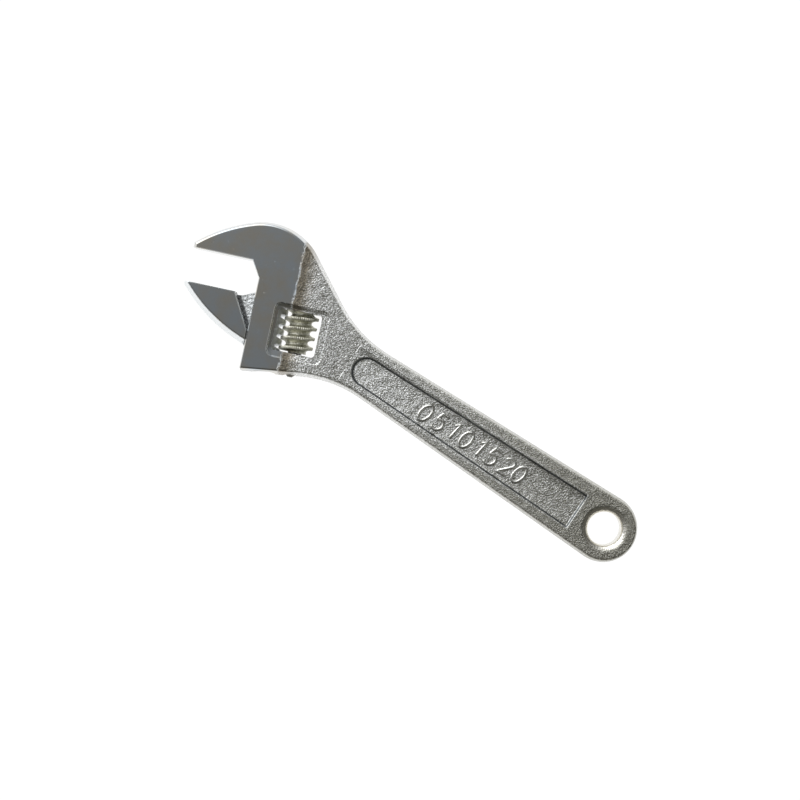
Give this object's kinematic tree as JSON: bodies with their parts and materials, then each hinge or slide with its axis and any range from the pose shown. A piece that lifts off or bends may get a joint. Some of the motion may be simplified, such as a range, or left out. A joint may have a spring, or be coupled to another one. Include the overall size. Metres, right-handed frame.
{
  "type": "adjustable wrench",
  "caption": "Adjustable wrench: chrome plated forged body, sliding jaw on a round rail, knurled worm in a window, recessed handle panels and a hanging hole.",
  "frame": {"origin": "middle of the bounding box, at its lowest level, which is the lower ground face of the head", "axes": "+X along the handle from the head to the hanging hole, +Z through the thickness; the head is turned 21.3 degrees from the handle"},
  "size_m": [0.1562, 0.0426, 0.011],
  "materials": {
    "forged_chrome": "chrome plate over a forged surface, satin where ground",
    "worm_steel": "machined steel, dulled",
    "spring_steel": "drawn wire"
  },
  "bodies": {
    "frame": {"wrench_body": "forged_chrome", "worm_pin": "worm_steel", "worm_spring": "spring_steel"},
    "worm": {"adjusting_worm": "worm_steel"},
    "jaw": {"movable_jaw": "forged_chrome"}
  },
  "joints": [
    {"name": "worm_spin", "type": "hinge", "parent": "frame", "child": "worm", "pos_m": [-0.03783, -0.00296, 0.0055], "axis": [-0.3633, 0.9317, 0], "range_deg": [-1241.5, 1241.5]},
    {"name": "jaw_slide", "type": "slide", "parent": "frame", "child": "jaw", "axis": [-0.3633, 0.9317, 0], "range_m": [-0.01, 0.01]}
  ],
  "couplings": [
    {"joint": "worm_spin", "follows": "jaw_slide", "rad_per_m": -2166.6}
  ]
}
